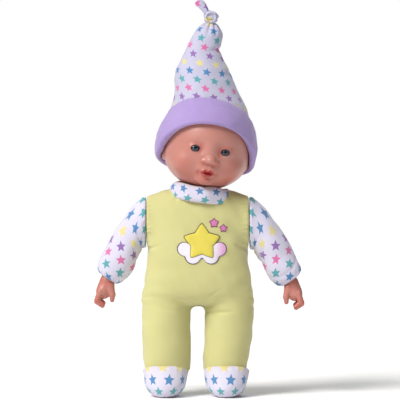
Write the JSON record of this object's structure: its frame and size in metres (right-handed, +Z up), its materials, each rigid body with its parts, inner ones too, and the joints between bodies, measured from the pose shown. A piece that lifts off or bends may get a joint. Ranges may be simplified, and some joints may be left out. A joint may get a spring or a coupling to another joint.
{
  "type": "baby doll",
  "caption": "Soft-bodied baby doll: vinyl head and hands, stuffed cloth body, pull-off pointed cap, and a squeeze sound module behind a back flap.",
  "frame": {"origin": "on the floor under the middle of the doll's bounding box", "axes": "+Z up from the soles to the cap, -Y the way the doll's chest faces, +X the doll's own left"},
  "size_m": [0.2064, 0.0998, 0.3836],
  "materials": {
    "body_jersey": "matte",
    "star_print_jersey": "matte",
    "cuff_jersey": "matte",
    "fibre_fill": "matte",
    "pocket_cloth": "matte",
    "closure_tape": "matte",
    "star_patch_cloth": "matte",
    "cloud_patch_cloth": "matte",
    "pink_patch_cloth": "matte",
    "soft_vinyl": "satin",
    "eye_white": "gloss",
    "eye_iris": "gloss",
    "tie_plastic": "satin",
    "case_plastic": "satin",
    "button_plastic": "satin",
    "dark_plastic": "satin",
    "board_laminate": "satin",
    "plated_steel": "satin"
  },
  "bodies": {
    "torso": {"torso_cover": "body_jersey", "torso_stuffing": "fibre_fill", "pocket_lining": "pocket_cloth", "neck_tie": "tie_plastic", "roll_collar": "star_print_jersey", "star_patch": "star_patch_cloth", "cloud_patch": "cloud_patch_cloth", "small_star_patches": "pink_patch_cloth", "loop_strip": "closure_tape", "front_case": "case_plastic", "rear_case": "case_plastic", "battery_door": "case_plastic", "battery_door_screw": "plated_steel", "case_screws": "plated_steel", "button_cells": "plated_steel", "battery_contacts": "plated_steel", "circuit_board": "board_laminate", "board_parts": "dark_plastic", "tact_switch": "dark_plastic", "speaker_frame": "plated_steel", "speaker_cone": "dark_plastic", "speaker_magnet": "plated_steel", "speaker_leads": "dark_plastic", "button_spring": "plated_steel"},
    "squeeze_button": {"press_button": "button_plastic"},
    "power_switch": {"power_slider": "dark_plastic"},
    "back_flap": {"back_flap": "body_jersey", "hook_strip": "closure_tape"},
    "head": {"head_shell": "soft_vinyl", "left_eye": "eye_white", "right_eye": "eye_white", "left_iris": "eye_iris", "right_iris": "eye_iris"},
    "cap": {"cap_cuff": "cuff_jersey", "cap_crown": "star_print_jersey", "cap_knot": "star_print_jersey", "cap_tail": "star_print_jersey"},
    "left_arm": {"left_sleeve": "star_print_jersey", "left_arm_stuffing": "fibre_fill", "left_wrist_tie": "tie_plastic"},
    "left_hand": {"left_hand": "soft_vinyl"},
    "left_leg": {"left_leg_cover": "body_jersey", "left_leg_stuffing": "fibre_fill", "left_foot_cover": "star_print_jersey", "left_foot_stuffing": "fibre_fill"},
    "right_arm": {"right_sleeve": "star_print_jersey", "right_arm_stuffing": "fibre_fill", "right_wrist_tie": "tie_plastic"},
    "right_hand": {"right_hand": "soft_vinyl"},
    "right_leg": {"right_leg_cover": "body_jersey", "right_leg_stuffing": "fibre_fill", "right_foot_cover": "star_print_jersey", "right_foot_stuffing": "fibre_fill"}
  },
  "joints": [
    {"name": "head_turn", "type": "hinge", "parent": "torso", "child": "head", "pos_m": [0.002, -0.0037, 0.192], "axis": [0.1478, 0, 0.989], "range_deg": [-60, 60]},
    {"name": "cap_pull_off", "type": "slide", "parent": "head", "child": "cap", "axis": [0.0849, 0.4981, 0.863], "range_m": [0, 0.11]},
    {"name": "button_squeeze", "type": "slide", "parent": "torso", "child": "squeeze_button", "axis": [0, 1, 0], "range_m": [0, 0.0023], "stiffness_N_per_m": 1500, "springref_m": -0.0004, "deforming": ["button_spring"]},
    {"name": "power_slide", "type": "slide", "parent": "torso", "child": "power_switch", "axis": [0, 0, 1], "range_m": [0, 0.004]},
    {"name": "back_flap_open", "type": "hinge", "parent": "torso", "child": "back_flap", "pos_m": [0, 0.02846, 0.156], "axis": [1, 0, 0], "range_deg": [0, 120]},
    {"name": "left_shoulder", "type": "hinge", "parent": "torso", "child": "left_arm", "pos_m": [0.0497, -0.0037, 0.169], "axis": [-1, 0, 0], "range_deg": [-40, 100]},
    {"name": "left_wrist_turn", "type": "hinge", "parent": "left_arm", "child": "left_hand", "pos_m": [0.0885, -0.0037, 0.1125], "axis": [0.5641, 0, -0.8257], "range_deg": [-60, 60]},
    {"name": "left_hip", "type": "hinge", "parent": "torso", "child": "left_leg", "pos_m": [0.0304, -0.0287, 0.078], "axis": [-1, 0, 0], "range_deg": [0, 90]},
    {"name": "right_shoulder", "type": "hinge", "parent": "torso", "child": "right_arm", "pos_m": [-0.0497, -0.0037, 0.169], "axis": [-1, 0, 0], "range_deg": [-40, 100]},
    {"name": "right_wrist_turn", "type": "hinge", "parent": "right_arm", "child": "right_hand", "pos_m": [-0.0855, -0.0037, 0.1145], "axis": [-0.5469, 0, -0.8372], "range_deg": [-60, 60]},
    {"name": "right_hip", "type": "hinge", "parent": "torso", "child": "right_leg", "pos_m": [-0.0304, -0.0287, 0.078], "axis": [-1, 0, 0], "range_deg": [0, 90]}
  ]
}
